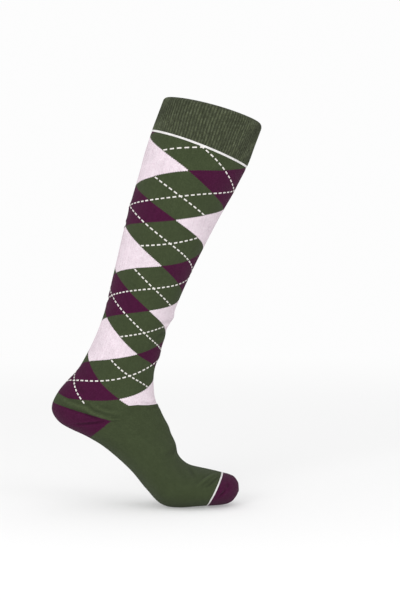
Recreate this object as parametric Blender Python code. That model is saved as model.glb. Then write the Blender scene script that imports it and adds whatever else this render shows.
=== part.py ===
"""A knee-high argyle riding sock in its worn form, leg leaning back and toe down, modelled in metres.

+Z is up, +X runs to the toe, and the sock's middle plane is XZ. The origin is the centre of the leg opening.
The knit is one smooth skin: a tube laid through courses, each an oval ring given by its two ends in the middle
plane and its half width. Each knitted piece is a stretch of that skin with its wall inside it.
"""

import math

import bmesh
import bpy
import numpy as np
from mathutils import Vector

MM = 0.001

# Leg
LEG_LENGTH = 240 * MM
LEG_LEAN = math.radians(20.6)
CALF_DEPTH = 122 * MM
CALF_WIDTH = 98 * MM

# Cuff
CUFF_BACK = 43 * MM
CUFF_FRONT = 53 * MM
CUFF_WALL = 2.6 * MM
CUFF_ROUND = 6.5 * MM
CUFF_LINE = 2.6 * MM
RIB_PITCH = 4.0 * MM
RIB_DEPTH = 0.6 * MM

# Foot
FOOT_LENGTH = 247 * MM
FOOT_DEPTH = 75 * MM
FOOT_WIDTH = 86 * MM
FOOT_PITCH = math.radians(23.4)
ANKLE_HEIGHT = 133 * MM
HEEL_REACH = 51 * MM
TREAD = 1.5 * MM
TOE_LINE = 2.2 * MM

# Knit
WALL = 1.4 * MM
COURSE_BOW = 8.2 * MM
FOLD = 2.2 * MM
GAP = 0.3 * MM
COLUMNS = 32
ROW_STEP = 12.5 * MM
TIP_ROUND = 0.12

# Courses of the leg. Lengths down the leg are shares of LEG_LENGTH, depths of CALF_DEPTH, sides of CALF_WIDTH,
# and bow, how far a course's sides hang below its ends, of COURSE_BOW.
LEG_COURSES = (
    # back_down, back, front_down, front, side, bow
    (0.000, 0.490, 0.003, 0.504, 0.500, -0.30),
    (0.125, 0.480, 0.125, 0.478, 0.490, 0.05),
    (0.274, 0.456, 0.251, 0.438, 0.468, 0.15),
    (0.489, 0.416, 0.463, 0.386, 0.425, 0.80),
    (0.731, 0.356, 0.679, 0.346, 0.375, 0.90),
    (0.965, 0.304, 0.903, 0.338, 0.330, 0.85),
)

# Courses of the ankle and the foot, from the heel's back and sole. Lengths along are shares of FOOT_LENGTH,
# rises of FOOT_DEPTH, sides of FOOT_WIDTH, bow of COURSE_BOW, and spread is how much wider the sole side is.
FOOT_COURSES = (
    # under_along, under_rise, over_along, over_rise, side, bow, spread
    (0.051, 1.090, 0.391, 1.390, 0.345, 0.95, 0.00),
    (0.000, 0.500, 0.455, 0.985, 0.350, 1.00, 0.03),
    (0.000, 0.220, 0.474, 0.920, 0.350, 0.90, 0.05),
    (0.052, 0.060, 0.495, 0.858, 0.352, 0.60, 0.06),
    (0.130, 0.022, 0.524, 0.775, 0.360, 0.35, 0.08),
    (0.228, 0.005, 0.554, 0.694, 0.372, 0.15, 0.10),
    (0.338, -0.052, 0.588, 0.583, 0.395, 0.00, 0.12),
    (0.482, -0.218, 0.625, 0.465, 0.432, 0.00, 0.13),
    (0.583, -0.388, 0.658, 0.320, 0.465, 0.00, 0.14),
    (0.672, -0.504, 0.712, 0.245, 0.490, 0.00, 0.14),
    (0.758, -0.448, 0.779, 0.268, 0.500, 0.00, 0.12),
    (0.877, -0.252, 0.886, 0.330, 0.445, 0.00, 0.08),
    (0.942, -0.150, 0.926, 0.352, 0.360, 0.00, 0.04),
    (0.980, -0.060, 0.955, 0.345, 0.262, 0.00, 0.00),
    (0.997, 0.050, 0.981, 0.285, 0.150, 0.00, 0.00),
    (1.000, 0.175, 1.000, 0.175, 0.000, 0.00, 0.00),
)

# Folds in the knit. Places are course numbers, angles run from the front over the near side to the back,
# reaches are in courses and degrees, and heights are shares of FOLD.
FOLDS = (
    # course, angle, course_reach, angle_reach, height
    (6.72, 0, 0.10, 55, 0.90),
    (7.02, 0, 0.12, 60, -0.70),
    (7.60, 0, 0.14, 50, 0.75),
    (8.80, 0, 0.35, 60, -0.60),
    (8.25, 150, 0.22, 40, -0.45),
    (4.60, 180, 0.10, 35, 0.35),
)

# The heel's wedge, in shares of FOOT_LENGTH along and FOOT_DEPTH up: where its two gores meet and where they end.
HEEL_TIP = (0.294, 0.440)
HEEL_TOP = (0.000, 0.310)
HEEL_SOLE = (0.224, 0.000)
HEEL_TIP_HEIGHT = 1.2 * MM

# Course numbers, counted from the leg opening: the cuff's two, the leg's, then the foot's rows, of which
# the second ends the leg and the twelfth starts the toe
CUFF_TOP = 0
LEG_TOP = 2
ANKLE_COURSE = LEG_TOP + len(LEG_COURSES)
LEG_END = ANKLE_COURSE + 1
TOE_START = ANKLE_COURSE + 11
TIP = ANKLE_COURSE + len(FOOT_COURSES) - 1

COLOURS = {
    # node: colour, roughness
    "cuff": ((0.058, 0.078, 0.034, 1.0), 0.9),
    "cuff_line": ((0.86, 0.84, 0.82, 1.0), 0.85),
    "leg": ((0.058, 0.078, 0.034, 1.0), 0.9),
    "foot": ((0.058, 0.078, 0.034, 1.0), 0.9),
    "heel": ((0.075, 0.013, 0.045, 1.0), 0.9),
    "toe_line": ((0.86, 0.84, 0.82, 1.0), 0.85),
    "toe": ((0.075, 0.013, 0.045, 1.0), 0.9),
}

DOWN_LEG = np.array((-math.sin(LEG_LEAN), -math.cos(LEG_LEAN)))
LEG_FRONT = np.array((math.cos(LEG_LEAN), -math.sin(LEG_LEAN)))
ALONG_FOOT = np.array((math.cos(FOOT_PITCH), -math.sin(FOOT_PITCH)))
UP_FOOT = np.array((math.sin(FOOT_PITCH), math.cos(FOOT_PITCH)))
CUFF_HEIGHT = (CUFF_BACK + CUFF_FRONT) / 2
LINE_CENTRE = CUFF_HEIGHT * DOWN_LEG
ANKLE = LINE_CENTRE + LEG_LENGTH * DOWN_LEG
HEEL_CORNER = ANKLE - HEEL_REACH * ALONG_FOOT - ANKLE_HEIGHT * UP_FOOT


def remove_objects():
    for old in list(bpy.data.objects):
        bpy.data.objects.remove(old, do_unlink=True)


def leg_point(down, front):
    return LINE_CENTRE + down * DOWN_LEG + front * LEG_FRONT


def foot_point(along, rise):
    return HEEL_CORNER + along * FOOT_LENGTH * ALONG_FOOT + rise * FOOT_DEPTH * UP_FOOT


def all_courses():
    """Each course as one row: back end x and z, front end x and z, half width, bow and spread."""
    first = LEG_COURSES[0]
    rows = []
    for height in (1.0, 0.5):
        back = leg_point(-CUFF_BACK * height, -first[1] * CALF_DEPTH)
        front = leg_point(-CUFF_FRONT * height, first[3] * CALF_DEPTH)
        rows.append((*back, *front, first[4] * CALF_WIDTH, first[5] * COURSE_BOW, 0.0))
    for back_down, back, front_down, front, side, bow in LEG_COURSES:
        back_end = leg_point(back_down * LEG_LENGTH, -back * CALF_DEPTH)
        front_end = leg_point(front_down * LEG_LENGTH, front * CALF_DEPTH)
        rows.append((*back_end, *front_end, side * CALF_WIDTH, bow * COURSE_BOW, 0.0))
    for under_along, under_rise, over_along, over_rise, side, bow, spread in FOOT_COURSES:
        under_end = foot_point(under_along, under_rise)
        over_end = foot_point(over_along, over_rise)
        rows.append((*under_end, *over_end, side * FOOT_WIDTH, bow * COURSE_BOW, spread))
    return np.array(rows)


COURSES = all_courses()


def course_at(number):
    """The course of this number, which may lie between two rows: a Catmull-Rom curve through them."""
    i = min(max(int(math.floor(number)), 0), len(COURSES) - 2)
    u = number - i
    a, b = COURSES[i], COURSES[i + 1]
    before = COURSES[i - 1] if i else 2 * a - b
    after = COURSES[i + 2] if i + 2 < len(COURSES) else 2 * b - a
    slope_a = (b - before) / 2
    slope_b = (after - a) / 2
    return (
        (1 + 2 * u) * (1 - u) ** 2 * a
        + u * (1 - u) ** 2 * slope_a
        + u * u * (3 - 2 * u) * b
        + u * u * (u - 1) * slope_b
    )


def bare_skin(number, angle):
    """The skin before its folds, at a course number and an angle from the front over the near side."""
    back_x, back_z, front_x, front_z, side, bow, spread = course_at(number)
    c, s = math.cos(angle), math.sin(angle)
    reach_x, reach_z = (front_x - back_x) / 2, (front_z - back_z) / 2
    depth = math.hypot(reach_x, reach_z) or 1.0
    hang = bow * s * s / depth
    x = (back_x + front_x) / 2 + reach_x * c + reach_z * hang
    z = (back_z + front_z) / 2 + reach_z * c - reach_x * hang
    y = -side * s * (1 - spread * c)
    return np.array((x, y, z))


def tread_height():
    """The height of the flat under the ball of the foot."""
    low = min(bare_skin(n, math.pi)[2] for n in np.arange(LEG_END, TIP, 0.1))
    return low + TREAD


TREAD_Z = tread_height()


def normal_and_tangent(point_at, number, angle):
    """The outward normal and the direction down the sock, by small steps."""
    step, turn = 0.02, 0.01
    low, high = max(number - step, 0), min(number + step, TIP)
    down = point_at(high, angle) - point_at(low, angle)
    round_it = point_at(number, angle + turn) - point_at(number, angle - turn)
    out = np.cross(round_it, down)
    return out / np.linalg.norm(out), down / np.linalg.norm(down)


def fold_height(number, angle):
    """How far the folds lift the skin, in metres."""
    degrees = math.degrees(angle) % 360
    lift = 0.0
    for course, centre, course_reach, angle_reach, height in FOLDS:
        off = min(abs(degrees - centre), 360 - abs(degrees - centre))
        if centre not in (0, 180):
            other = 360 - centre
            off = min(off, abs(degrees - other), 360 - abs(degrees - other))
        lift += height * math.exp(-(((number - course) / course_reach) ** 2) - (off / angle_reach) ** 2)
    return lift * FOLD


def skin(number, angle):
    """The sock's outside, with its folds and the flat under the ball."""
    point = bare_skin(number, angle)
    lift = fold_height(number, angle)
    if abs(lift) > GAP / 10:
        point = point + lift * normal_and_tangent(bare_skin, number, angle)[0]
    point[2] = max(point[2], TREAD_Z)
    return point


def ring(number, columns=COLUMNS, inset=0.0, slide=0.0, rib=0.0):
    """One ring of points: sunk by inset below the skin, slid down the sock, and ribbed by turns."""
    points = []
    for k in range(columns):
        angle = 2 * math.pi * k / columns
        out, down = normal_and_tangent(skin, number, angle)
        lift = rib / 2 if k % 2 else -rib / 2
        points.append(skin(number, angle) + (lift - inset) * out + slide * down)
    return points


def object_from(name, mesh):
    colour, roughness = COLOURS[name]
    material = bpy.data.materials.new(name)
    material.use_nodes = True
    principled = material.node_tree.nodes["Principled BSDF"]
    principled.inputs["Base Color"].default_value = colour
    principled.inputs["Roughness"].default_value = roughness
    principled.inputs["Metallic"].default_value = 0.0
    mesh.materials.append(material)
    mesh.shade_smooth()
    mesh.set_sharp_from_angle(angle=math.radians(50))
    made = bpy.data.objects.new(name, mesh)
    bpy.context.collection.objects.link(made)
    return made


def mesh_from(name, bm):
    mesh = bpy.data.meshes.new(name)
    bmesh.ops.recalc_face_normals(bm, faces=bm.faces)
    bm.to_mesh(mesh)
    bm.free()
    return mesh


def bridge(bm, upper, lower):
    count = len(upper)
    for k in range(count):
        after = (k + 1) % count
        bm.faces.new((upper[k], lower[k], lower[after], upper[after]))


def closed_tube(name, rings):
    """A wall from rings that run down its outside, round its lower rim, up its inside and back."""
    bm = bmesh.new()
    loops = [[bm.verts.new(Vector(p)) for p in points] for points in rings]
    for upper, lower in zip(loops, loops[1:] + loops[:1]):
        bridge(bm, upper, lower)
    return mesh_from(name, bm)


def closed_cap(name, outside, inside, outer_tip, inner_tip):
    """A cup from rings down its outside to a tip, and the same up its inside to the rim."""
    bm = bmesh.new()
    outer = [[bm.verts.new(Vector(p)) for p in points] for points in outside]
    inner = [[bm.verts.new(Vector(p)) for p in points] for points in inside]
    bridge(bm, inner[0], outer[0])
    for loops, tip in ((outer, outer_tip), (inner, inner_tip)):
        for upper, lower in zip(loops, loops[1:]):
            bridge(bm, upper, lower)
        end = bm.verts.new(Vector(tip))
        last = loops[-1]
        for k in range(len(last)):
            bm.faces.new((last[k], end, last[(k + 1) % len(last)]))
    return mesh_from(name, bm)


def course_numbers(start, end, step=ROW_STEP):
    """Course numbers from start to end, a step apart at most, wherever the skin is longest between them."""
    fine = np.linspace(start, end, 200)
    places = np.array([[bare_skin(n, angle) for n in fine] for angle in (0, math.pi / 2, math.pi)])
    steps = np.linalg.norm(np.diff(places, axis=1), axis=2).max(axis=0)
    lengths = np.concatenate(([0.0], np.cumsum(steps)))
    count = max(int(round(lengths[-1] / step)), 1)
    return np.interp(np.linspace(0, lengths[-1], count + 1), lengths, fine)


def wall_between(name, start, end, start_slide, end_slide):
    """A stretch of the knit as a tube, its rims slid down the sock by the given lengths."""
    numbers = course_numbers(start, end)
    slides = [0.0] * len(numbers)
    slides[0] = start_slide
    slides[-1] = end_slide
    outside = [ring(n, slide=s) for n, s in zip(numbers, slides)]
    inside = [ring(n, inset=WALL, slide=s) for n, s in zip(numbers, slides)]
    return closed_tube(name, outside + inside[::-1])


def cuff():
    """The ribbed welt, whose upper edge turns in over the leg opening."""
    perimeter = math.pi * math.sqrt((CALF_DEPTH**2 + CALF_WIDTH**2) / 2)
    columns = 2 * round(perimeter / RIB_PITCH)
    per_metre = LEG_TOP / CUFF_HEIGHT
    shoulder = CUFF_ROUND * per_metre
    halfway = CUFF_ROUND * (1 - math.sqrt(0.5))
    outside = [
        ring(CUFF_TOP, columns, inset=CUFF_ROUND),
        ring(halfway * per_metre, columns, inset=halfway, rib=RIB_DEPTH / 2),
        ring(shoulder, columns, rib=RIB_DEPTH),
        ring(LEG_TOP, columns, slide=-GAP / 2, rib=RIB_DEPTH),
    ]
    inside = [
        ring(LEG_TOP, columns, inset=CUFF_WALL, slide=-GAP / 2),
        ring(shoulder, columns, inset=CUFF_WALL),
        ring(CUFF_WALL * per_metre, columns, inset=CUFF_ROUND),
    ]
    object_from("cuff", closed_tube("cuff", outside + inside))


def cuff_line():
    """The white course under the cuff."""
    top, bottom = GAP / 2, CUFF_LINE - GAP / 2
    rings = [
        ring(LEG_TOP, slide=top),
        ring(LEG_TOP, slide=bottom),
        ring(LEG_TOP, inset=WALL, slide=bottom),
        ring(LEG_TOP, inset=WALL, slide=top),
    ]
    object_from("cuff_line", closed_tube("cuff_line", rings))


def leg():
    object_from("leg", wall_between("leg", LEG_TOP, LEG_END, CUFF_LINE + GAP / 2, -GAP / 2))


def wedge(name, grow):
    """A cutter in the heel's form, right across the sock and grown on each side."""
    half = HEEL_TIP_HEIGHT / 2 + grow
    tip = foot_point(*HEEL_TIP)
    ends = []
    for end in (HEEL_TOP, HEEL_SOLE):
        way = foot_point(*end) - tip
        ends.append(way / np.linalg.norm(way))
    bisector = (ends[0] + ends[1]) / np.linalg.norm(ends[0] + ends[1])
    across = np.array((-bisector[1], bisector[0]))
    if across @ ends[0] < 0:
        across = -across
    nose = tip - grow * bisector
    corners = [
        nose + half * across,
        nose + half * across + FOOT_LENGTH * ends[0],
        nose - half * across + FOOT_LENGTH * ends[1],
        nose - half * across,
    ]
    bm = bmesh.new()
    face = bm.faces.new([bm.verts.new((x, -FOOT_WIDTH, z)) for x, z in corners])
    sides = bmesh.ops.extrude_face_region(bm, geom=[face])["geom"]
    moved = [v for v in sides if isinstance(v, bmesh.types.BMVert)]
    bmesh.ops.translate(bm, verts=moved, vec=(0, 2 * FOOT_WIDTH, 0))
    cutter = bpy.data.objects.new(name, mesh_from(name, bm))
    bpy.context.collection.objects.link(cutter)
    cutter.hide_render = True
    cutter.display_type = "WIRE"
    return cutter


def cut(made, cutter, operation):
    boolean = made.modifiers.new("heel_wedge", "BOOLEAN")
    boolean.operation = operation
    boolean.solver = "EXACT"
    boolean.object = cutter


def foot_and_heel():
    """The foot's tube with the heel's wedge cut from it, and the heel that fills the cut."""
    tube = wall_between("foot", LEG_END, TOE_START, GAP / 2, -GAP / 2)
    whole = object_from("heel", tube.copy())
    whole.data.materials.pop(index=0)
    cut(object_from("foot", tube), wedge("foot_cutter", GAP), "DIFFERENCE")
    cut(whole, wedge("heel_cutter", 0.0), "INTERSECT")


def toe_line():
    """The white course before the toe."""
    top, bottom = GAP / 2, TOE_LINE - GAP / 2
    rings = [
        ring(TOE_START, slide=top),
        ring(TOE_START, slide=bottom),
        ring(TOE_START, inset=WALL, slide=bottom),
        ring(TOE_START, inset=WALL, slide=top),
    ]
    object_from("toe_line", closed_tube("toe_line", rings))


def toe():
    """The toe cap, closed over the toes."""
    numbers = list(course_numbers(TOE_START, TIP - TIP_ROUND, ROW_STEP / 2))
    slides = [TOE_LINE + GAP / 2] + [0.0] * (len(numbers) - 1)
    outside = [ring(n, slide=s) for n, s in zip(numbers, slides)]
    inside = [ring(n, inset=WALL, slide=s) for n, s in zip(numbers, slides)]
    tip = skin(TIP, 0.0)
    inner_tip = tip - WALL * np.array((ALONG_FOOT[0], 0.0, ALONG_FOOT[1]))
    object_from("toe", closed_cap("toe", outside, inside, tip, inner_tip))


def main():
    remove_objects()
    cuff()
    cuff_line()
    leg()
    foot_and_heel()
    toe_line()
    toe()


main()
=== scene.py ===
"""The knit, colours and light of a knee-high argyle riding sock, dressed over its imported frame.

Every piece is cut as a flat grid of knit, numbered by turns round the sock and rounds down it, and then laid on the
sock's skin. The tables of courses and folds are the same as in the part's source.
"""

import math

import bmesh
import bpy
import numpy as np
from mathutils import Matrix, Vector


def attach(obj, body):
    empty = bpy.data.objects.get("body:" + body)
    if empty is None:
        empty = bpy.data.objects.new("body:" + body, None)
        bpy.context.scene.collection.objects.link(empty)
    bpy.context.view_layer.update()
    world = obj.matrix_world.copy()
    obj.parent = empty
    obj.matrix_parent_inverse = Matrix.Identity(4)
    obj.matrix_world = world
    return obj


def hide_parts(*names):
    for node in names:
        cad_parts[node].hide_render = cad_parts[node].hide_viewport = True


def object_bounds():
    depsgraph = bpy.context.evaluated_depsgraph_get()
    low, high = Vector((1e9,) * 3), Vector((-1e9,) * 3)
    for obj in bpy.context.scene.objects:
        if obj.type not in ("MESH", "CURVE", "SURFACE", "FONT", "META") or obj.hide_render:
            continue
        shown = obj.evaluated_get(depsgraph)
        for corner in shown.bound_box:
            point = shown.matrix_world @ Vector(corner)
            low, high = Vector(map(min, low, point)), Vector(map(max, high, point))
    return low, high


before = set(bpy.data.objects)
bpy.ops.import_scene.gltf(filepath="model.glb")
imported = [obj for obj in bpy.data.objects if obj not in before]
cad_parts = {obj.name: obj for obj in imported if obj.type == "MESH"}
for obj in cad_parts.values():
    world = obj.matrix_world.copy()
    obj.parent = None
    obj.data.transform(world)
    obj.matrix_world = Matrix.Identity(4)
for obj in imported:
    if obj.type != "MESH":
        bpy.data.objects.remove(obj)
cad_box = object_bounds()

MM = 0.001

# Leg, cuff and foot, as in the part's source
LEG_LENGTH = 240 * MM
LEG_LEAN = math.radians(20.6)
CALF_DEPTH = 122 * MM
CALF_WIDTH = 98 * MM
CUFF_BACK = 43 * MM
CUFF_FRONT = 53 * MM
CUFF_WALL = 2.6 * MM
CUFF_ROUND = 6.5 * MM
CUFF_LINE = 2.6 * MM
RIB_DEPTH = 0.6 * MM
FOOT_LENGTH = 247 * MM
FOOT_DEPTH = 75 * MM
FOOT_WIDTH = 86 * MM
FOOT_PITCH = math.radians(23.4)
ANKLE_HEIGHT = 133 * MM
HEEL_REACH = 51 * MM
TREAD = 1.5 * MM
TOE_LINE = 2.2 * MM
WALL = 1.4 * MM
COURSE_BOW = 8.2 * MM
FOLD = 2.2 * MM

LEG_COURSES = (
    # back_down, back, front_down, front, side, bow
    (0.000, 0.490, 0.003, 0.504, 0.500, -0.30),
    (0.125, 0.480, 0.125, 0.478, 0.490, 0.05),
    (0.274, 0.456, 0.251, 0.438, 0.468, 0.15),
    (0.489, 0.416, 0.463, 0.386, 0.425, 0.80),
    (0.731, 0.356, 0.679, 0.346, 0.375, 0.90),
    (0.965, 0.304, 0.903, 0.338, 0.330, 0.85),
)
FOOT_COURSES = (
    # under_along, under_rise, over_along, over_rise, side, bow, spread
    (0.051, 1.090, 0.391, 1.390, 0.345, 0.95, 0.00),
    (0.000, 0.500, 0.455, 0.985, 0.350, 1.00, 0.03),
    (0.000, 0.220, 0.474, 0.920, 0.350, 0.90, 0.05),
    (0.052, 0.060, 0.495, 0.858, 0.352, 0.60, 0.06),
    (0.130, 0.022, 0.524, 0.775, 0.360, 0.35, 0.08),
    (0.228, 0.005, 0.554, 0.694, 0.372, 0.15, 0.10),
    (0.338, -0.052, 0.588, 0.583, 0.395, 0.00, 0.12),
    (0.482, -0.218, 0.625, 0.465, 0.432, 0.00, 0.13),
    (0.583, -0.388, 0.658, 0.320, 0.465, 0.00, 0.14),
    (0.672, -0.504, 0.712, 0.245, 0.490, 0.00, 0.14),
    (0.758, -0.448, 0.779, 0.268, 0.500, 0.00, 0.12),
    (0.877, -0.252, 0.886, 0.330, 0.445, 0.00, 0.08),
    (0.942, -0.150, 0.926, 0.352, 0.360, 0.00, 0.04),
    (0.980, -0.060, 0.955, 0.345, 0.262, 0.00, 0.00),
    (0.997, 0.050, 0.981, 0.285, 0.150, 0.00, 0.00),
    (1.000, 0.175, 1.000, 0.175, 0.000, 0.00, 0.00),
)
FOLDS = (
    # course, angle, course_reach, angle_reach, height
    (6.72, 0, 0.10, 55, 0.90),
    (7.02, 0, 0.12, 60, -0.70),
    (7.60, 0, 0.14, 50, 0.75),
    (8.80, 0, 0.35, 60, -0.60),
    (8.25, 150, 0.22, 40, -0.45),
    (4.60, 180, 0.10, 35, 0.35),
)
HEEL_TIP = (0.294, 0.440)
HEEL_TOP = (0.000, 0.310)
HEEL_SOLE = (0.224, 0.000)

CUFF_TOP = 0
LEG_TOP = 2
ANKLE_COURSE = 8
LEG_END = 9
TOE_START = 19
TIP = 23

# The knitting. A lozenge is four quarter turns round the sock by HALF_ROUNDS twice over.
RIBS = 96
WALES = 352
HALF_ROUNDS = 30
HALF_LOZENGE = 28.5 * MM
SEAM_TURN = 0.25
FAR_SHIFT = 0.05
UNEVEN = 0.12 * MM

# How far the pattern has come at each course of the cuff and leg, in half lozenges: on the near side, and how much
# further at the front and at the back
HALVES = (-1.78, -0.90, -0.11, 0.93, 2.02, 4.01, 6.02, 8.04, 10.05, 11.34)
FRONT_LEAD = (0.03, 0.03, 0.13, -0.08, 0.01, -0.09, -0.46, -0.42, -0.12, -0.35)
BACK_LEAD = (0.03, 0.00, -0.13, -0.24, -0.14, -0.08, 0.01, 0.08, 0.14, 0.38)

# How far the knitting has turned round the leg at each course, in degrees towards the front of the near side
TURNED = (
    # front, near side, back, far side
    (-3, 3, 0, 0),
    (-5, 3, 2, 0),
    (-8, 4, 4, 0),
    (-11, -1, 5, -2),
    (-9, 2, 8, 0),
    (1, 13, 13, 3),
    (8, 13, 26, 11),
    (12, 23, 30, 16),
    (20, 23, 34, 26),
    (6, 13, 17, 14),
    (3, 5, 1, 5),
)

# Small creases in the worn knit, each through three places given by course number and angle in degrees, then how
# wide and how deep in millimetres. A depth below nought is a ridge. The far side has each one too, a little lower.
# Their depth also gives the knit painted shade in its grooves and painted light on its ridges.
CREASES = (
    # course, angle, course, angle, course, angle, width, depth
    (9.10, 165, 9.38, 110, 10.70, 82, 2.3, -1.3),
    (9.03, 108, 9.45, 90, 9.95, 72, 2.0, -1.0),
    (9.45, 160, 9.85, 112, 10.80, 86, 1.5, 0.8),
    (10.62, 88, 10.72, 81, 10.76, 74, 1.0, -1.2),
    (11.20, 136, 11.05, 112, 10.85, 91, 1.4, 1.3),
    (18.20, 72, 18.45, 45, 18.70, 18, 1.8, -1.3),
    (18.55, 74, 18.75, 50, 18.93, 24, 1.3, 1.2),
    (19.40, 104, 19.70, 90, 20.05, 76, 1.5, 1.2),
    (20.00, 68, 20.08, 61, 20.15, 54, 2.4, 0.9),
    (8.95, 44, 9.12, 22, 9.00, 0, 1.8, 0.8),
    (9.70, 38, 9.95, 20, 9.85, 0, 2.2, 0.8),
    (4.90, 150, 4.97, 178, 4.92, 205, 1.6, 1.0),
    (8.35, 176, 8.50, 150, 8.72, 118, 3.0, 0.7),
    (17.30, 20, 17.60, 34, 17.95, 52, 3.0, 0.7),
    (15.40, 10, 15.35, 36, 15.10, 66, 3.2, 0.6),
    (6.45, 140, 6.60, 165, 6.55, 190, 2.4, 0.7),
    (7.14, 40, 7.10, 20, 7.08, 0, 2.4, 0.9),
    (6.92, 46, 6.90, 24, 6.90, 0, 2.6, -0.7),
)

# How far below its course the pattern ends round the leg, in shares of a course at angles in degrees, and over how
# many rows of knit above and below it that fades out
END_ANGLES = (0, 30, 50, 80, 110, 130, 180)
END_DROPS = (0.36, 0.19, 0.03, 0.02, 0.08, 0.09, 0.03)
END_ROWS_ABOVE = 7
END_ROWS_BELOW = 20

DOWN_LEG = np.array((-math.sin(LEG_LEAN), -math.cos(LEG_LEAN)))
LEG_FRONT = np.array((math.cos(LEG_LEAN), -math.sin(LEG_LEAN)))
ALONG_FOOT = np.array((math.cos(FOOT_PITCH), -math.sin(FOOT_PITCH)))
UP_FOOT = np.array((math.sin(FOOT_PITCH), math.cos(FOOT_PITCH)))
CUFF_HEIGHT = (CUFF_BACK + CUFF_FRONT) / 2
LINE_CENTRE = CUFF_HEIGHT * DOWN_LEG
ANKLE = LINE_CENTRE + LEG_LENGTH * DOWN_LEG
HEEL_CORNER = ANKLE - HEEL_REACH * ALONG_FOOT - ANKLE_HEIGHT * UP_FOOT


def leg_point(down, front):
    return LINE_CENTRE + down * DOWN_LEG + front * LEG_FRONT


def foot_point(along, rise):
    return HEEL_CORNER + along * FOOT_LENGTH * ALONG_FOOT + rise * FOOT_DEPTH * UP_FOOT


def all_courses():
    """Each course as one row: back end x and z, front end x and z, half width, bow and spread."""
    first = LEG_COURSES[0]
    rows = []
    for height in (1.0, 0.5):
        back = leg_point(-CUFF_BACK * height, -first[1] * CALF_DEPTH)
        front = leg_point(-CUFF_FRONT * height, first[3] * CALF_DEPTH)
        rows.append((*back, *front, first[4] * CALF_WIDTH, first[5] * COURSE_BOW, 0.0))
    for back_down, back, front_down, front, side, bow in LEG_COURSES:
        back_end = leg_point(back_down * LEG_LENGTH, -back * CALF_DEPTH)
        front_end = leg_point(front_down * LEG_LENGTH, front * CALF_DEPTH)
        rows.append((*back_end, *front_end, side * CALF_WIDTH, bow * COURSE_BOW, 0.0))
    for under_along, under_rise, over_along, over_rise, side, bow, spread in FOOT_COURSES:
        under_end = foot_point(under_along, under_rise)
        over_end = foot_point(over_along, over_rise)
        rows.append((*under_end, *over_end, side * FOOT_WIDTH, bow * COURSE_BOW, spread))
    return np.array(rows)


COURSES = all_courses()


def along(table, numbers):
    """A table's rows at course numbers that may lie between two: a Catmull-Rom curve through them."""
    numbers = np.asarray(numbers, dtype=float)
    i = np.clip(np.floor(numbers).astype(int), 0, len(table) - 2)
    u = (numbers - i)[..., None]
    a, b = table[i], table[i + 1]
    before = np.where((i > 0)[..., None], table[np.maximum(i - 1, 0)], 2 * a - b)
    after = np.where((i + 2 < len(table))[..., None], table[np.minimum(i + 2, len(table) - 1)], 2 * b - a)
    return (
        (1 + 2 * u) * (1 - u) ** 2 * a
        + u * (1 - u) ** 2 * (b - before) / 2
        + u * u * (3 - 2 * u) * b
        + u * u * (u - 1) * (after - a) / 2
    )


def bare_skin(numbers, angles):
    """The skin before its folds, at course numbers and angles from the front over the near side."""
    back_x, back_z, front_x, front_z, side, bow, spread = np.moveaxis(along(COURSES, numbers), -1, 0)
    c, s = np.cos(angles), np.sin(angles)
    reach_x, reach_z = (front_x - back_x) / 2, (front_z - back_z) / 2
    depth = np.maximum(np.hypot(reach_x, reach_z), 1e-6)
    hang = bow * s * s / depth
    x = (back_x + front_x) / 2 + reach_x * c + reach_z * hang
    z = (back_z + front_z) / 2 + reach_z * c - reach_x * hang
    return np.stack((x, -side * s * (1 - spread * c), z), axis=-1)


TREAD_Z = bare_skin(np.arange(LEG_END, TIP, 0.1), math.pi)[:, 2].min() + TREAD


def outward_and_down(point_at, numbers, angles):
    """The outward normal and the direction down the sock, by small steps."""
    step, turn = 0.02, 0.01
    down = point_at(np.minimum(numbers + step, TIP), angles) - point_at(np.maximum(numbers - step, 0), angles)
    round_it = point_at(numbers, angles + turn) - point_at(numbers, angles - turn)
    out = np.cross(round_it, down)
    lengths = [np.maximum(np.linalg.norm(way, axis=-1, keepdims=True), 1e-9) for way in (out, down)]
    return out / lengths[0], down / lengths[1]


def away(degrees, centre):
    off = np.abs(degrees - centre) % 360
    return np.minimum(off, 360 - off)


def fold_lift(numbers, angles):
    degrees = np.degrees(angles) % 360
    lift = 0.0
    for course, centre, course_reach, angle_reach, height in FOLDS:
        off = np.minimum(away(degrees, centre), away(degrees, 360 - centre))
        lift = lift + height * np.exp(-(((numbers - course) / course_reach) ** 2) - (off / angle_reach) ** 2)
    return lift * FOLD


def crease_path(crease, mirror):
    """Points along a crease on the bare skin, on the near side or on the far side."""
    shares = np.linspace(0, 1, 15)
    numbers = np.interp(shares, (0, 0.5, 1), crease[0:6:2]) + (FAR_SHIFT if mirror else 0.0)
    angles = np.radians(np.interp(shares, (0, 0.5, 1), crease[1:6:2]))
    return bare_skin(numbers, -angles if mirror else angles)


def crease_lift(points):
    """The creases' depth at points of the bare skin: a groove between two soft ridges, faded at its ends."""
    lift = np.zeros(points.shape[:-1])
    for crease in CREASES:
        width, depth = crease[6] * MM, crease[7] * MM
        for mirror in (False, True):
            path = crease_path(crease, mirror)
            low, high = path.min(axis=0) - 5 * width, path.max(axis=0) + 5 * width
            near = np.all((points > low) & (points < high), axis=-1)
            if not near.any():
                continue
            these = points[near]
            best = np.full(len(these), 1e3)
            place = np.zeros(len(these))
            for k in range(len(path) - 1):
                way = path[k + 1] - path[k]
                t = np.clip((these - path[k]) @ way / (way @ way), 0, 1)
                distance = np.linalg.norm(these - path[k] - t[:, None] * way, axis=-1)
                closer = distance < best
                best = np.where(closer, distance, best)
                place = np.where(closer, (k + t) / (len(path) - 1), place)
            off = best / width
            shape = -np.exp(-(off**2)) + 0.4 * np.exp(-(((off - 1.9) / 0.9) ** 2))
            lift[near] += depth * shape * np.sin(math.pi * np.clip(place, 0, 1)) ** 0.7
    return lift


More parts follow.
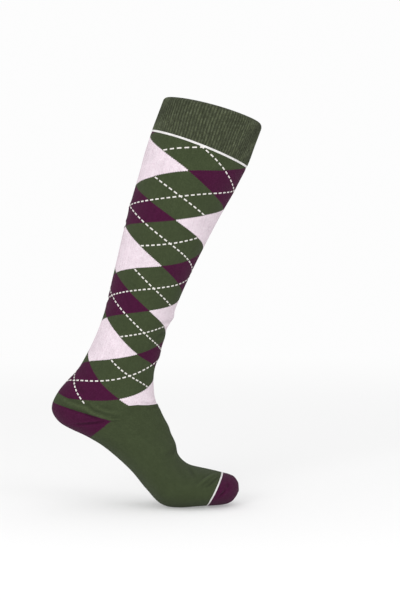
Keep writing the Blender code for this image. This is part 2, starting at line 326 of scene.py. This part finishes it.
def unevenness(numbers, angles):
    """The slight unevenness of cloth on a leg, which closes on itself round the sock."""
    return UNEVEN * (
        np.sin(3 * angles + 2.1 * numbers)
        + np.sin(5 * angles - 3.3 * numbers + 1.0)
        + 0.6 * np.sin(9 * angles + 5.2 * numbers + 2.0)
    )


def skin(numbers, angles):
    """The sock's outside, with its folds and creases and the flat under the ball."""
    points = bare_skin(numbers, angles)
    out = outward_and_down(bare_skin, numbers, angles)[0]
    lift = fold_lift(numbers, angles) + crease_lift(points) + unevenness(numbers, angles) * (numbers > LEG_TOP)
    points = points + lift[..., None] * out
    points[..., 2] = np.maximum(points[..., 2], TREAD_Z)
    return points


def laid(numbers, angles, lift=0.0, slide=0.0):
    """Places on the skin, raised off it and slid down the sock."""
    out, down = outward_and_down(skin, numbers, angles)
    lift, slide = np.broadcast_to(lift, numbers.shape), np.broadcast_to(slide, numbers.shape)
    return skin(numbers, angles) + lift[..., None] * out + slide[..., None] * down


def knitting_table():
    """Half lozenges knitted, the leads and the four turns at every course, counted on along the foot."""
    halves = list(HALVES)
    side = bare_skin(np.arange(TIP + 1.0), np.full(TIP + 1, math.pi / 2))
    for number in range(len(HALVES), TIP + 1):
        halves.append(halves[-1] + np.linalg.norm(side[number] - side[number - 1]) / HALF_LOZENGE)
    leads = [list(lead) + [lead[-1]] * (TIP + 1 - len(lead)) for lead in (FRONT_LEAD, BACK_LEAD)]
    turns = [tuple(row) for row in TURNED] + [(0, 0, 0, 0)] * (TIP + 1 - len(TURNED))
    return np.column_stack((halves, *leads, np.array(turns)))


KNITTING = knitting_table()


def turned(rows, angles):
    """Turns of twist at angles, from a course's twist at the front, near side, back and far side."""
    front, near, back, far = np.moveaxis(rows[..., 3:], -1, 0) / 360
    return (
        (front + near + back + far) / 4
        + (front - back) / 2 * np.cos(angles)
        + (near - far) / 2 * np.sin(angles)
        + (front - near + back - far) / 4 * np.cos(2 * angles)
    )


def stitch_place(numbers, angles):
    """Turns round the sock, and tens of half lozenges down it, of the stitch at each place."""
    rows = along(KNITTING, numbers)
    near, front, back = rows[..., 0], rows[..., 1], rows[..., 2]
    c = np.cos(angles)
    halves = near + (front - back) / 2 * c + (front + back) / 2 * c * c
    return np.stack((angles / (2 * math.pi) + turned(rows, angles), halves / 10), axis=-1)


def place_of(quarters, halves):
    """The course numbers and angles where the knitting has come to these quarter turns and half lozenges."""
    fine = np.linspace(CUFF_TOP, LEG_END + 1, 4000)
    counted = along(KNITTING, fine)[:, 0]
    numbers = np.interp(halves, counted, fine)
    angles = quarters * math.pi / 2
    for each in range(12):
        stitches = stitch_place(numbers, angles)
        angles = angles + (quarters / 4 - stitches[..., 0]) * 2 * math.pi
        numbers = np.interp(np.interp(numbers, fine, counted) + halves - 10 * stitches[..., 1], counted, fine)
    return numbers, angles


def numbers_between(start, end, step):
    """Course numbers from start to end, a step apart along the near side, the back or the front."""
    fine = np.linspace(start, end, 400)
    angles = np.radians((0, 90, 180))
    places = np.array([bare_skin(fine, np.full(fine.shape, angle)) for angle in angles])
    steps = np.linalg.norm(np.diff(places, axis=1), axis=2).max(axis=0)
    lengths = np.concatenate(([0.0], np.cumsum(steps)))
    count = max(int(round(lengths[-1] / step)), 1)
    return np.interp(np.linspace(0, lengths[-1], count + 1), lengths, fine)


def end_drop(angles):
    """How far below its course the pattern ends, the same on both sides."""
    degrees = np.degrees(angles) % 360
    return np.interp(np.minimum(degrees, 360 - degrees), END_ANGLES, END_DROPS)


def face_outwards(bm):
    """Turn the faces to the outside: on the two sides of the middle plane they face away from each other."""
    bmesh.ops.recalc_face_normals(bm, faces=bm.faces)
    if sum(f.normal.y * f.calc_center_median().y * f.calc_area() for f in bm.faces) < 0:
        bmesh.ops.reverse_faces(bm, faces=bm.faces)


def knit_grid(columns, numbers, lifts=None, slides=None, shape=None, dropped=None):
    """A flat grid of knit with a UV map of its stitches, rolled on to the sock and closed at its seam.

    Each row has its course number, lift and slide, shape adds a lift that also depends on the angle, and
    dropped is each row's share of the pattern's drop at its end.
    """
    rows = len(numbers) - 1
    lifts = np.zeros(rows + 1) if lifts is None else np.asarray(lifts)
    slides = np.zeros(rows + 1) if slides is None else np.asarray(slides)
    bm = bmesh.new()
    bmesh.ops.create_grid(bm, x_segments=columns, y_segments=rows, size=0.5)
    shares = np.array([v.co[:2] for v in bm.verts]) + 0.5
    row = np.rint(shares[:, 1] * rows).astype(int)
    angles = 2 * math.pi * (shares[:, 0] - SEAM_TURN)
    number = np.asarray(numbers)[row]
    lift = lifts[row]
    if shape is not None:
        lift = lift + shape(row, angles)
    if dropped is not None:
        number = number + end_drop(angles) * np.asarray(dropped)[row]
    points = laid(number, angles, lift, slides[row])
    stitches = stitch_place(number, angles)
    # Each vertex keeps its crease depth, which the knit's material turns into painted shade in the grooves and painted
    # light on the ridges
    creased = crease_lift(bare_skin(number, angles)) / MM
    crease = bm.verts.layers.float.new("crease")
    knit = bm.loops.layers.uv.new("knit")
    for face in bm.faces:
        for loop in face.loops:
            loop[knit].uv = stitches[loop.vert.index]
    for vert, point, lifted in zip(bm.verts, points, creased):
        vert.co = point
        vert[crease] = lifted
    edge = [v for v in bm.verts if v.is_boundary]
    bmesh.ops.remove_doubles(bm, verts=edge, dist=0.01 * MM)
    face_outwards(bm)
    return bm


def knitted(name, bm, node, material, wall=0.0):
    """A finished piece from its mesh, with a wall inside its skin where it is a single sheet."""
    if wall:
        bmesh.ops.solidify(bm, geom=bm.faces, thickness=wall)
    mesh = bpy.data.meshes.new(name)
    bm.to_mesh(mesh)
    bm.free()
    mesh.materials.append(material)
    mesh.shade_smooth()
    mesh.set_sharp_from_angle(angle=math.radians(60))
    piece = bpy.data.objects.new(name, mesh)
    bpy.context.collection.objects.link(piece)
    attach(piece, "root")
    if node:
        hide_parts(node)
    return piece


# Colours, as the yarn looks in white light
GREEN = (0.038, 0.051, 0.022)
GREEN_FLECK = (0.058, 0.076, 0.036)
RIB_GREEN = (0.040, 0.047, 0.025)
RIB_FLECK = (0.074, 0.084, 0.055)
PLUM = (0.047, 0.0032, 0.026)
PLUM_FLECK = (0.073, 0.010, 0.044)
PINK = (0.750, 0.658, 0.712)
PINK_FLECK = (0.580, 0.435, 0.515)
WHITE = (0.720, 0.704, 0.696)
WHITE_FLECK = (0.605, 0.573, 0.581)
DASH = (0.685, 0.660, 0.628)
DASH_FLECK = (0.538, 0.505, 0.489)


class Nodes:
    """Adds nodes to one tree, each with its values and links in one call."""

    def __init__(self, tree):
        self.tree = tree

    def add(self, kind, settings=None, **values):
        made = self.tree.nodes.new(kind)
        for name, value in (settings or {}).items():
            setattr(made, name, value)
        for name, value in values.items():
            key = int(name[1:]) if name[0] == "i" and name[1:].isdigit() else name.replace("_", " ")
            self.give(made.inputs[key], value)
        return made

    def give(self, socket, value):
        if isinstance(value, bpy.types.NodeSocket):
            self.tree.links.new(value, socket)
        else:
            socket.default_value = value

    def maths(self, operation, *values):
        made = self.add("ShaderNodeMath", {"operation": operation})
        for socket, value in zip(made.inputs, values):
            self.give(socket, value)
        return made.outputs[0]

    def mix(self, share, a, b):
        made = self.add("ShaderNodeMix", {"data_type": "RGBA"})
        self.give(made.inputs["Factor"], share)
        self.give(made.inputs[6], a)
        self.give(made.inputs[7], b)
        return made.outputs[2]


def new_group(name, inputs, outputs):
    """A node group with named sockets; gives its nodes, its input node and its output node."""
    tree = bpy.data.node_groups.new(name, "ShaderNodeTree")
    for label, kind, value in inputs:
        socket = tree.interface.new_socket(label, in_out="INPUT", socket_type=kind)
        if value is not None:
            socket.default_value = value
    for label, kind in outputs:
        tree.interface.new_socket(label, in_out="OUTPUT", socket_type=kind)
    nodes = Nodes(tree)
    return nodes, nodes.add("NodeGroupInput").outputs, nodes.add("NodeGroupOutput").inputs


FLOAT, VECTOR, COLOUR = "NodeSocketFloat", "NodeSocketVector", "NodeSocketColor"


def stitches_group():
    """Plain knit: which stitch a place lies in, how high the yarn stands there, and a random number for it."""
    nodes, given, out = new_group(
        "Knit stitches",
        (("Knit", VECTOR, None), ("Wales", FLOAT, WALES), ("Rounds", FLOAT, 10 * HALF_ROUNDS), ("Slant", FLOAT, 0.55)),
        (("Turn", FLOAT), ("Halves", FLOAT), ("Height", FLOAT), ("Random", FLOAT), ("Wale", FLOAT)),
    )
    split = nodes.add("ShaderNodeSeparateXYZ", Vector=given["Knit"]).outputs
    across = nodes.maths("MULTIPLY", split["X"], given["Wales"])
    down = nodes.maths("MULTIPLY", split["Y"], given["Rounds"])
    wale = nodes.maths("FLOOR", across)
    in_wale = nodes.maths("SUBTRACT", across, wale)
    off_centre = nodes.maths("ABSOLUTE", nodes.maths("MULTIPLY_ADD", in_wale, 2.0, -1.0))
    slanted = nodes.maths("ADD", down, nodes.maths("MULTIPLY", off_centre, given["Slant"]))
    course = nodes.maths("FLOOR", slanted)
    in_course = nodes.maths("SUBTRACT", slanted, course)
    yarn = nodes.maths("PINGPONG", in_course, 0.5)
    strand = nodes.maths("SMOOTH_MIN", nodes.maths("MULTIPLY", yarn, 2.6), 1.0, 0.35)
    legs = nodes.maths("PINGPONG", off_centre, 0.5)
    leg_form = nodes.maths("SMOOTH_MIN", nodes.maths("MULTIPLY", legs, 3.0), 1.0, 0.4)
    nodes.give(out["Height"], nodes.maths("MULTIPLY", strand, leg_form))
    cell = nodes.add("ShaderNodeCombineXYZ", X=wale, Y=course).outputs[0]
    noise = nodes.add("ShaderNodeTexWhiteNoise", {"noise_dimensions": "3D"}, Vector=cell)
    nodes.give(out["Random"], noise.outputs["Value"])
    column = nodes.add("ShaderNodeTexWhiteNoise", {"noise_dimensions": "1D"}, W=wale)
    nodes.give(out["Wale"], column.outputs["Value"])
    nodes.give(out["Turn"], nodes.maths("DIVIDE", nodes.maths("ADD", wale, 0.5), given["Wales"]))
    halves = nodes.maths("DIVIDE", nodes.maths("ADD", course, 0.5), given["Rounds"])
    nodes.give(out["Halves"], nodes.maths("MULTIPLY", halves, 10.0))
    return nodes.tree


def lozenges_group():
    """Argyle: green columns of lozenges, and between them columns of plum and pink in turn."""
    nodes, given, out = new_group(
        "Argyle lozenges",
        (("Turn", FLOAT, None), ("Halves", FLOAT, None)),
        (("Green", FLOAT), ("Pink", FLOAT)),
    )
    quarter = nodes.maths("MULTIPLY", given["Turn"], 4.0)
    rise = nodes.maths("FLOOR", nodes.maths("MULTIPLY", nodes.maths("ADD", quarter, given["Halves"]), 0.5))
    fall = nodes.maths("FLOOR", nodes.maths("MULTIPLY", nodes.maths("SUBTRACT", given["Halves"], quarter), 0.5))
    nodes.give(out["Green"], nodes.maths("FLOORED_MODULO", nodes.maths("ADD", rise, fall), 2.0))
    nodes.give(out["Pink"], nodes.maths("FLOORED_MODULO", rise, 2.0))
    return nodes.tree


def yarn_group():
    """Dyed yarn: flecks by the stitch, streaks by the wale, soft clouds over the cloth and fine fibres, with painted
    shade in the gaps between strands, painted shade in the creases' grooves and painted light on their ridges.
    """
    nodes, given, out = new_group(
        "Yarn",
        (
            ("Colour", COLOUR, None),
            ("Fleck", COLOUR, None),
            ("Flecks", FLOAT, 0.5),
            ("Random", FLOAT, None),
            ("Wale", FLOAT, None),
            ("Height", FLOAT, None),
            ("Gap Shade", FLOAT, 0.5),
            ("Crease", FLOAT, 0.0),
        ),
        (("Colour", COLOUR), ("Fibres", FLOAT)),
    )
    place = nodes.add("ShaderNodeTexCoord").outputs["Object"]
    clouds = nodes.add("ShaderNodeTexNoise", Vector=place, Scale=55.0, Detail=6.0, Roughness=0.8).outputs[0]
    fibres = nodes.add("ShaderNodeTexNoise", Vector=place, Scale=2600.0, Detail=2.0, Roughness=0.7).outputs[0]
    uneven = nodes.maths("POWER", given["Random"], 2.0)
    share = nodes.maths("MULTIPLY", uneven, given["Flecks"])
    flecked = nodes.mix(share, given["Colour"], given["Fleck"])
    light = nodes.maths("MULTIPLY_ADD", clouds, 0.50, 0.75)
    light = nodes.maths("MULTIPLY", light, nodes.maths("MULTIPLY_ADD", fibres, 0.24, 0.88))
    light = nodes.maths("MULTIPLY", light, nodes.maths("MULTIPLY_ADD", given["Wale"], 0.08, 0.96))
    deep = nodes.maths("SUBTRACT", 1.0, given["Gap Shade"])
    shade = nodes.add("ShaderNodeMapRange", Value=given["Height"], To_Min=deep, To_Max=1.0).outputs[0]
    light = nodes.maths("MULTIPLY", light, shade)
    # Painted shade down in the creases' grooves and painted light up on their ridges, from each vertex's crease depth
    crease_shade_and_light = nodes.add(
        "ShaderNodeMapRange", Value=given["Crease"], From_Min=-1.0, From_Max=1.0, To_Min=0.72, To_Max=1.28
    ).outputs[0]
    light = nodes.maths("MULTIPLY", light, crease_shade_and_light)
    lit = nodes.add("ShaderNodeVectorMath", {"operation": "SCALE"}, i0=flecked, Scale=light)
    nodes.give(out["Colour"], lit.outputs[0])
    nodes.give(out["Fibres"], fibres)
    return nodes.tree


def ribs_group():
    """Painted light on a rib from its crest to its groove: a painted highlight along the crest and painted shade in
    the groove, in streaks that come and go along it.
    """
    nodes, given, out = new_group(
        "Ribs",
        (("Knit", VECTOR, None), ("Ribs", FLOAT, RIBS), ("Crest", FLOAT, 2.25), ("Groove", FLOAT, 0.66)),
        (("Light", FLOAT),),
    )
    split = nodes.add("ShaderNodeSeparateXYZ", Vector=given["Knit"]).outputs
    across = nodes.maths("MULTIPLY", split["X"], given["Ribs"])
    off_crest = nodes.maths("MULTIPLY", nodes.maths("PINGPONG", across, 0.5), 2.0)
    streak_place = nodes.add("ShaderNodeCombineXYZ", X=across, Y=nodes.maths("MULTIPLY", split["Y"], 60.0)).outputs[0]
    streaks = nodes.add("ShaderNodeTexNoise", Vector=streak_place, Scale=0.8, Detail=2.0, Roughness=0.6).outputs[0]
    strength = nodes.add("ShaderNodeMapRange", Value=streaks, From_Min=0.35, From_Max=0.65).outputs[0]
    # The crest's painted highlight, stronger where a streak runs
    crest = nodes.maths("MULTIPLY_ADD", strength, nodes.maths("SUBTRACT", given["Crest"], 1.0), 1.0)
    nodes.give(
        out["Light"],
        nodes.add("ShaderNodeMapRange", Value=off_crest, To_Min=crest, To_Max=given["Groove"]).outputs[0],
    )
    return nodes.tree


RIB_LIGHT = ribs_group()
STITCHES = stitches_group()
LOZENGES = lozenges_group()
YARN = yarn_group()


def colour(values):
    return (*values, 1.0)


def knit_material(name, yarns, flecks, gap_shade, roughness=0.92, sheen=0.03, bump=0.45, slant=0.55, ribbed=False):
    """Matte fine knit. One yarn is a plain colour; three are the argyle's green, plum and pink."""
    material = bpy.data.materials.new(name)
    material.use_nodes = True
    nodes = Nodes(material.node_tree)
    shader = material.node_tree.nodes["Principled BSDF"]
    knit = nodes.add("ShaderNodeUVMap", {"uv_map": "knit"}).outputs["UV"]
    stitch = nodes.add("ShaderNodeGroup", {"node_tree": STITCHES}, Knit=knit, Slant=slant).outputs
    if len(yarns) == 1:
        base, fleck = (colour(c) for c in yarns[0])
        amount = flecks[0]
    else:
        (green, green_fleck), (plum, plum_fleck), (pink, pink_fleck) = yarns
        lozenge = nodes.add(
            "ShaderNodeGroup", {"node_tree": LOZENGES}, Turn=stitch["Turn"], Halves=stitch["Halves"]
        ).outputs
        base = nodes.mix(lozenge["Pink"], colour(plum), colour(pink))
        base = nodes.mix(lozenge["Green"], base, colour(green))
        fleck = nodes.mix(lozenge["Pink"], colour(plum_fleck), colour(pink_fleck))
        fleck = nodes.mix(lozenge["Green"], fleck, colour(green_fleck))
        amount = flecks[0]
    # The crease depth read from the mesh gives painted shade in the creases and painted light on their ridges
    yarn = nodes.add(
        "ShaderNodeGroup",
        {"node_tree": YARN},
        Colour=base,
        Fleck=fleck,
        Flecks=amount,
        Random=stitch["Random"],
        Wale=stitch["Wale"],
        Height=stitch["Height"],
        Gap_Shade=gap_shade,
        Crease=nodes.add("ShaderNodeAttribute", {"attribute_name": "crease"}).outputs["Fac"],
    ).outputs
    seen = yarn["Colour"]
    if ribbed:
        # Painted highlight on the rib crests and painted shade in their grooves, over the yarn's colour
        light = nodes.add("ShaderNodeGroup", {"node_tree": RIB_LIGHT}, Knit=knit).outputs["Light"]
        seen = nodes.add("ShaderNodeVectorMath", {"operation": "SCALE"}, i0=seen, Scale=light).outputs[0]
    relief = nodes.maths("MULTIPLY_ADD", yarn["Fibres"], 0.35, stitch["Height"])
    raised = nodes.add("ShaderNodeBump", Strength=bump, Distance=0.35 * MM, Height=relief).outputs[0]
    nodes.give(shader.inputs["Base Color"], seen)
    nodes.give(shader.inputs["Normal"], raised)
    shader.inputs["Roughness"].default_value = roughness
    shader.inputs["Specular IOR Level"].default_value = 0.08
    shader.inputs["Sheen Weight"].default_value = sheen
    shader.inputs["Sheen Roughness"].default_value = 0.6
    shader.inputs["Sheen Tint"].default_value = (0.9, 0.9, 0.9, 1.0)
    return material


GREEN_KNIT = knit_material("Green knit", ((GREEN, GREEN_FLECK),), (0.6,), 0.35)
RIBBED_KNIT = knit_material("Ribbed green knit", ((RIB_GREEN, RIB_FLECK),), (0.6,), 0.35, ribbed=True)
PLUM_KNIT = knit_material("Plum knit", ((PLUM, PLUM_FLECK),), (0.6,), 0.35)
DASH_YARN = knit_material("Dash yarn", ((DASH, DASH_FLECK),), (0.5,), 0.2)
WHITE_KNIT = knit_material("White knit", ((WHITE, WHITE_FLECK),), (0.5,), 0.25)
ARGYLE_KNIT = knit_material(
    "Argyle knit", ((GREEN, GREEN_FLECK), (PLUM, PLUM_FLECK), (PINK, PINK_FLECK)), (0.6,), 0.3
)


def cuff():
    """The ribbed welt, whose upper edge rolls in over the leg opening."""
    per_metre = LEG_TOP / CUFF_HEIGHT
    arc = np.radians(np.linspace(0, 90, 9))
    inner = CUFF_ROUND - CUFF_WALL
    straight = np.linspace(CUFF_HEIGHT, CUFF_ROUND, 22)
    outer_down = CUFF_ROUND * (1 - np.sin(arc))
    inner_down = CUFF_ROUND - inner * np.sin(arc[::-1])
    inside = np.linspace(CUFF_ROUND, CUFF_HEIGHT, 12)
    downs = np.concatenate((straight[:-1], outer_down, inner_down, inside[1:], straight[:1]))
    insets = np.concatenate(
        (
            np.zeros(len(straight) - 1),
            CUFF_ROUND * (1 - np.cos(arc)),
            CUFF_ROUND - inner * np.cos(arc[::-1]),
            np.full(len(inside) - 1, CUFF_WALL),
            (0.0,),
        )
    )
    ribbed = np.concatenate((np.ones(len(straight) - 1), np.cos(arc), np.zeros(len(arc) + len(inside) - 1), (1.0,)))

    def ribs(row, angles):
        turns = angles / (2 * math.pi)
        wave = np.cos(2 * math.pi * RIBS * turns)
        return ribbed[row] * RIB_DEPTH / 2 * np.sign(wave) * np.abs(wave) ** 0.7

    bm = knit_grid(8 * RIBS, downs * per_metre, lifts=-insets, shape=ribs)
    knitted("cuff_knit", bm, "cuff", RIBBED_KNIT)


def band(name, number, height, node, columns=400):
    """A narrow white course, a flat ring with softly rounded faces."""
    share = np.array((0.0, 0.08, 0.3, 0.7, 0.92, 1.0, 1.0, 0.5, 0.0, 0.0))
    proud = np.array((-0.25, 0.0, 0.12, 0.12, 0.0, -0.25, -1.4, -1.4, -1.4, -0.25)) * MM
    bm = knit_grid(columns, np.full(len(share), float(number)), lifts=proud, slides=share * height)
    knitted(name, bm, node, WHITE_KNIT)


def leg():
    numbers = numbers_between(LEG_TOP, LEG_END, 1.9 * MM)
    rows = np.arange(len(numbers))
    slides = np.interp(rows, (0, 6), (CUFF_LINE, 0.0))
    lifts = np.interp(rows, (0, 1, 2), (-0.5 * MM, -0.2 * MM, 0.0))
    dropped = np.clip(1 - (len(numbers) - 1 - rows) / END_ROWS_ABOVE, 0, 1)
    bm = knit_grid(216, numbers, lifts=lifts, slides=slides, dropped=dropped)
    knitted("leg_knit", bm, "leg", ARGYLE_KNIT, WALL)


def in_wedge(point):
    """Whether a place lies in the heel's wedge, between its two gores."""
    tip, top, sole = (foot_point(*place) for place in (HEEL_TIP, HEEL_TOP, HEEL_SOLE))
    here = np.array((point[0], point[2])) - tip
    upper, lower = top - tip, sole - tip
    across = upper[0] * lower[1] - upper[1] * lower[0]
    below_upper = (upper[0] * here[1] - upper[1] * here[0]) * across
    above_lower = (here[0] * lower[1] - here[1] * lower[0]) * across
    return below_upper > 0 and above_lower > 0


def foot_and_heel():
    """The foot's tube is cut along the heel's two gores, and each part keeps its side of the cut."""
    numbers = numbers_between(LEG_END, TOE_START, 1.9 * MM)
    dropped = np.clip(1 - np.arange(len(numbers)) / END_ROWS_BELOW, 0, 1)
    whole = knit_grid(200, numbers, dropped=dropped)
    tip = foot_point(*HEEL_TIP)
    for end in (HEEL_TOP, HEEL_SOLE):
        way = foot_point(*end) - tip
        bmesh.ops.bisect_plane(
            whole,
            geom=whole.verts[:] + whole.edges[:] + whole.faces[:],
            plane_co=(tip[0], 0, tip[1]),
            plane_no=(-way[1], 0, way[0]),
            dist=0.02 * MM,
        )
    for name, node, slot, material, kept in (
        ("foot_knit", "foot", "green_knit", GREEN_KNIT, False),
        ("heel_knit", "heel", "plum_knit", PLUM_KNIT, True),
    ):
        bm = whole.copy()
        away_faces = [f for f in bm.faces if in_wedge(f.calc_center_median()) != kept]
        bmesh.ops.delete(bm, geom=away_faces, context="FACES")
        knitted(name, bm, node, material, WALL)
    whole.free()


def toe():
    numbers = numbers_between(TOE_START, TIP, 1.7 * MM)
    slides = np.interp(np.arange(len(numbers)), (0, 5), (TOE_LINE, 0.0))
    bm = knit_grid(200, numbers, slides=slides)
    knitted("toe_knit", bm, "toe", PLUM_KNIT, WALL)


DASHES = 11
DASH_DUTY = 0.60
DASH_WIDTH = 1.6 * MM
DASH_PROUD = 0.3 * MM


def is_pink(quarter, halves):
    rise = math.floor((quarter + halves) / 2)
    fall = math.floor((halves - quarter) / 2)
    return (rise + fall) % 2 == 0 and rise % 2 == 1


def dash_places():
    """Where the overstitching's dashes lie: quarter turns, half lozenges, and which way each line runs."""
    places = []
    for line in range(2):
        for way in (1, -1):
            for k in range(-2, int(HALVES[LEG_END] * DASHES) + 5):
                halves = k / DASHES
                quarter = way * (2 * line + 1 - halves)
                places.append((quarter % 4, halves, -way))
    return places


def pad_form():
    """One dash as a small pad two units long, wide and high: a cube with a raised middle and rounded edges."""
    bm = bmesh.new()
    bmesh.ops.create_cube(bm, size=2.0)
    long_edges = [e for e in bm.edges if abs(e.verts[0].co.x - e.verts[1].co.x) > 1]
    bmesh.ops.subdivide_edges(bm, edges=long_edges, cuts=3)
    rims = [e for e in bm.edges if all(v.co.z > 0 for v in e.verts) and len({f.normal.z > 0.5 for f in e.link_faces}) > 1]
    bmesh.ops.bevel(bm, geom=rims, offset=0.45, segments=1, profile=0.5, affect="EDGES", material=-1)
    mesh = bpy.data.meshes.new("pad")
    bm.to_mesh(mesh)
    bm.free()
    return mesh


def pads(name, quarters, halves, ways, length, width, proud, material):
    """Small raised pads on the skin, each along its own way in quarter turns for every half lozenge."""
    pad = pad_form()
    form = np.array([v.co for v in pad.vertices])
    run = form[None, :, 0] * length / 2

    def on_line(step):
        return place_of(quarters[:, None] + ways[:, None] * step, halves[:, None] + step)

    number, angles = on_line(run)
    out = outward_and_down(skin, number, angles)[0]
    side = np.cross(out, laid(*on_line(run + 0.01)) - laid(*on_line(run - 0.01)))
    side /= np.linalg.norm(side, axis=-1, keepdims=True)
    height = np.where(form[:, 2] > 0, proud, 0.3 * MM) * form[:, 2]
    points = laid(number, angles) + side * (width / 2 * form[:, 1])[None, :, None] + out * height[None, :, None]
    bm = bmesh.new()
    for each in quarters:
        bm.from_mesh(pad)
    for vert, point in zip(bm.verts, points.reshape(-1, 3)):
        vert.co = point
    bmesh.ops.recalc_face_normals(bm, faces=bm.faces)
    stitches = stitch_place(number, angles).reshape(-1, 2)
    bm.verts.index_update()
    knit = bm.loops.layers.uv.new("knit")
    for face in bm.faces:
        for loop in face.loops:
            loop[knit].uv = stitches[loop.vert.index]
    knitted(name, bm, None, material)


def overstitch():
    """The dashed white lines between the lozenges' middles, left off the pink, where they don't show."""
    places = [place for place in dash_places() if not is_pink(place[0], place[1])]
    quarters, halves, ways = np.array(places).T
    numbers = place_of(quarters, halves)[0]
    kept = (numbers > LEG_TOP + 0.10) & (numbers < LEG_END + 0.09)
    length = DASH_DUTY / DASHES
    pads(
        "overstitch",
        quarters[kept],
        halves[kept],
        ways[kept],
        length,
        DASH_WIDTH,
        DASH_PROUD,
        DASH_YARN,
    )


def floor():
    """A wide pale floor under the ball of the foot, which fades into the white surround."""
    bm = bmesh.new()
    bmesh.ops.create_grid(bm, x_segments=8, y_segments=8, size=12.0)
    bmesh.ops.translate(bm, verts=bm.verts, vec=(0, 0, cad_box[0][2] - 0.2 * MM))
    mesh = bpy.data.meshes.new("floor")
    bm.to_mesh(mesh)
    bm.free()
    material = bpy.data.materials.new("Pale floor")
    material.use_nodes = True
    nodes = Nodes(material.node_tree)
    shader = material.node_tree.nodes["Principled BSDF"]
    place = nodes.add("ShaderNodeTexCoord").outputs["Object"]
    far = nodes.add("ShaderNodeVectorMath", {"operation": "LENGTH"}, i0=place).outputs["Value"]
    fade = nodes.add(
        "ShaderNodeMapRange",
        {"interpolation_type": "SMOOTHSTEP"},
        Value=far,
        From_Min=FLOOR_NEAR,
        From_Max=FLOOR_FAR,
    ).outputs[0]
    glow = nodes.maths("MULTIPLY_ADD", fade, SURROUND - FLOOR_GLOW, FLOOR_GLOW)
    pale = nodes.maths("MULTIPLY_ADD", fade, -FLOOR_PALE, FLOOR_PALE)
    nodes.give(shader.inputs["Base Color"], pale)
    nodes.give(shader.inputs["Emission Color"], glow)
    shader.inputs["Emission Strength"].default_value = 1.0
    shader.inputs["Roughness"].default_value = 0.7
    shader.inputs["Specular IOR Level"].default_value = 0.0
    mesh.materials.append(material)
    made = bpy.data.objects.new("floor", mesh)
    bpy.context.collection.objects.link(made)


FLOOR_NEAR = 0.35
FLOOR_FAR = 2.6
FLOOR_GLOW = 0.265
FLOOR_PALE = 0.605
SURROUND = 0.98


def soft_light(name, place, aim, size, power):
    data = bpy.data.lights.new(name, "AREA")
    data.shape = "DISK"
    data.size = size
    data.energy = power
    made = bpy.data.objects.new(name, data)
    bpy.context.collection.objects.link(made)
    made.location = place
    way = np.array(aim) - np.array(place)
    made.rotation_euler = (
        math.atan2(math.hypot(way[0], way[1]), -way[2]),
        0.0,
        math.atan2(way[1], way[0]) - math.pi / 2,
    )


def studio():
    """An even white surround, a broad soft light from the left and a faint one from the right."""
    world = bpy.data.worlds.new("studio")
    bpy.context.scene.world = world
    world.use_nodes = True
    shown = world.node_tree.nodes["Background"]
    shown.inputs["Color"].default_value = (1.0, 1.0, 1.0, 1.0)
    shown.inputs["Strength"].default_value = SURROUND
    soft_light("key", (-1.1, -2.3, 0.35), (-0.05, 0.0, -0.25), 1.5, 38.7)
    soft_light("fill", (1.9, -1.6, 0.2), (-0.05, 0.0, -0.25), 1.5, 18.1)
    bpy.context.scene.view_settings.view_transform = "Standard"


CAMERA_PLACE = (-16 * MM, -1870 * MM, -159 * MM)
CAMERA_DOWN = math.radians(2.1)
CAMERA_LENS = 93.5


def camera():
    data = bpy.data.cameras.new("camera")
    data.lens = CAMERA_LENS
    data.sensor_width = 36.0
    made = bpy.data.objects.new("camera", data)
    bpy.context.collection.objects.link(made)
    made.location = CAMERA_PLACE
    made.rotation_euler = (math.pi / 2 - CAMERA_DOWN, 0.0, 0.0)
    bpy.context.scene.camera = made


camera()
studio()
floor()
cuff()
band("cuff_line_knit", LEG_TOP, CUFF_LINE, "cuff_line")
leg()
overstitch()
foot_and_heel()
band("toe_line_knit", TOE_START, TOE_LINE, "toe_line")
toe()
